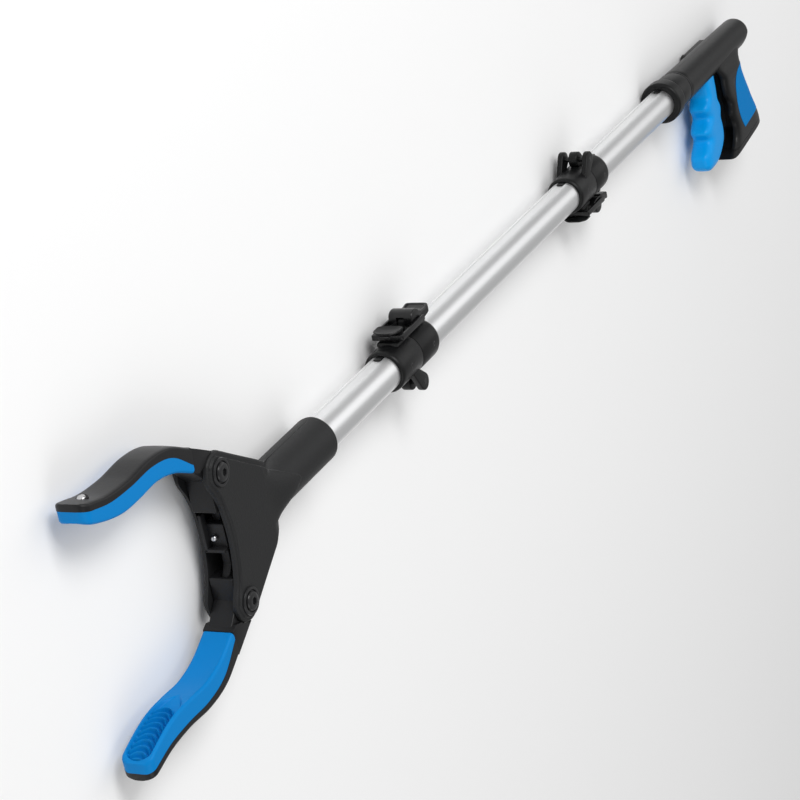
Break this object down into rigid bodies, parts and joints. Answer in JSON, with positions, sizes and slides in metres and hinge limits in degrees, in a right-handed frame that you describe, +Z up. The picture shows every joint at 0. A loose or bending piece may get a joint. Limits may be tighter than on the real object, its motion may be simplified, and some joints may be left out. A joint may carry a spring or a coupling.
{
  "type": "reacher grabber",
  "caption": "Tri-fold aluminium pick-up reacher with a pistol grip, finger trigger, two latched fold joints and a pair of padded magnetic-tip jaws.",
  "frame": {"origin": "bottom centre of the bounding box, on the floor, with the tool lying on its side", "axes": "+X along the tubes towards the handle, +Y away from the grip, +Z up from the floor"},
  "size_m": [0.8742, 0.1386, 0.0278],
  "materials": {
    "shell_black": "satin black moulding",
    "lever_black": "satin black moulding",
    "jaw_black": "satin black moulding",
    "pad_blue": "soft satin blue rubber",
    "trigger_blue": "satin blue moulding",
    "tube_alu": "satin anodised",
    "screw_black": "black oxide",
    "steel": "bright steel",
    "wire_dark": "dark coated wire",
    "nylon_dark": "moulded nylon",
    "magnet": "nickel plated"
  },
  "bodies": {
    "handle": {"handle_shell_left": "shell_black", "handle_shell_right": "shell_black", "nose_ring": "shell_black", "grip_insert": "pad_blue", "butt_cap": "shell_black", "handle_screws": "screw_black", "rear_tube": "tube_alu", "rear_tube_rivets": "steel", "rear_lever_collar": "shell_black", "rear_lever_pin": "steel", "rear_cable": "steel"},
    "trigger": {"trigger": "trigger_blue", "trigger_cable_anchor": "steel"},
    "middle": {"middle_tube": "tube_alu", "middle_tube_rivets": "steel", "rear_hook_collar": "shell_black", "rear_hinge_pin": "steel", "front_lever_collar": "shell_black", "front_lever_pin": "steel", "middle_cable": "steel"},
    "head": {"front_tube": "tube_alu", "front_tube_rivets": "steel", "front_hook_collar": "shell_black", "front_hinge_pin": "steel", "head_shell_front": "shell_black", "head_shell_rear": "shell_black", "jaw_pivot_screws": "screw_black", "jaw_pivot_nuts": "screw_black", "jaw_pivot_bushes": "steel", "front_cable": "steel"},
    "pull_block": {"pull_block": "nylon_dark", "drive_pins": "steel", "cable_ball": "steel"},
    "upper_jaw": {"upper_jaw_arm": "jaw_black", "upper_jaw_pad": "pad_blue", "upper_jaw_magnet": "magnet"},
    "lower_jaw": {"lower_jaw_arm": "jaw_black", "lower_jaw_pad": "pad_blue", "lower_jaw_magnet": "magnet"},
    "front_lever": {"front_latch_lever": "lever_black"},
    "front_bail": {"front_latch_bail": "wire_dark"},
    "rear_lever": {"rear_latch_lever": "lever_black"},
    "rear_bail": {"rear_latch_bail": "wire_dark"}
  },
  "joints": [
    {"name": "trigger_pull", "type": "hinge", "parent": "handle", "child": "trigger", "pos_m": [0.35745, 0.00759, 0.0139], "axis": [0, 0, 1], "range_deg": [0, 18], "stiffness_Nm_per_rad": 0.4},
    {"name": "fold_rear", "type": "hinge", "parent": "handle", "child": "middle", "pos_m": [0.12245, 0.01879, 0.0139], "axis": [0, 0, -1], "range_deg": [0, 172]},
    {"name": "fold_front", "type": "hinge", "parent": "middle", "child": "head", "pos_m": [-0.13455, -0.01161, 0.0139], "axis": [0, 0, 1], "range_deg": [0, 168]},
    {"name": "rear_lever_open", "type": "hinge", "parent": "handle", "child": "rear_lever", "pos_m": [0.12945, -0.01201, 0.0139], "axis": [0, 0, -1], "range_deg": [0, 85.5]},
    {"name": "rear_bail_swing", "type": "hinge", "parent": "rear_lever", "child": "rear_bail", "pos_m": [0.13545, -0.01141, 0.0139], "axis": [0, 0, 1], "range_deg": [0, 145.5]},
    {"name": "front_lever_open", "type": "hinge", "parent": "middle", "child": "front_lever", "pos_m": [-0.12755, 0.01919, 0.0139], "axis": [0, 0, 1], "range_deg": [0, 85.5]},
    {"name": "front_bail_swing", "type": "hinge", "parent": "front_lever", "child": "front_bail", "pos_m": [-0.12155, 0.01859, 0.0139], "axis": [0, 0, -1], "range_deg": [0, 145.5]},
    {"name": "upper_jaw_close", "type": "hinge", "parent": "head", "child": "upper_jaw", "pos_m": [-0.33805, 0.03609, 0.0139], "axis": [0, 0, 1], "range_deg": [0, 32.3]},
    {"name": "lower_jaw_close", "type": "hinge", "parent": "head", "child": "lower_jaw", "pos_m": [-0.33805, -0.02891, 0.0139], "axis": [0, 0, -1], "range_deg": [0, 32.3]},
    {"name": "block_slide", "type": "slide", "parent": "head", "child": "pull_block", "axis": [1, 0, 0], "range_m": [0, 0.00507]}
  ],
  "couplings": [
    {"joint": "rear_lever_open", "follows": "fold_rear", "ratio": 0.49419},
    {"joint": "rear_bail_swing", "follows": "fold_rear", "ratio": 0.84302},
    {"joint": "front_lever_open", "follows": "fold_front", "ratio": 0.50595},
    {"joint": "front_bail_swing", "follows": "fold_front", "ratio": 0.86309},
    {"joint": "upper_jaw_close", "follows": "trigger_pull", "ratio": 1.7944},
    {"joint": "lower_jaw_close", "follows": "trigger_pull", "ratio": 1.7944},
    {"joint": "block_slide", "follows": "trigger_pull", "m_per_rad": 0.016098}
  ]
}
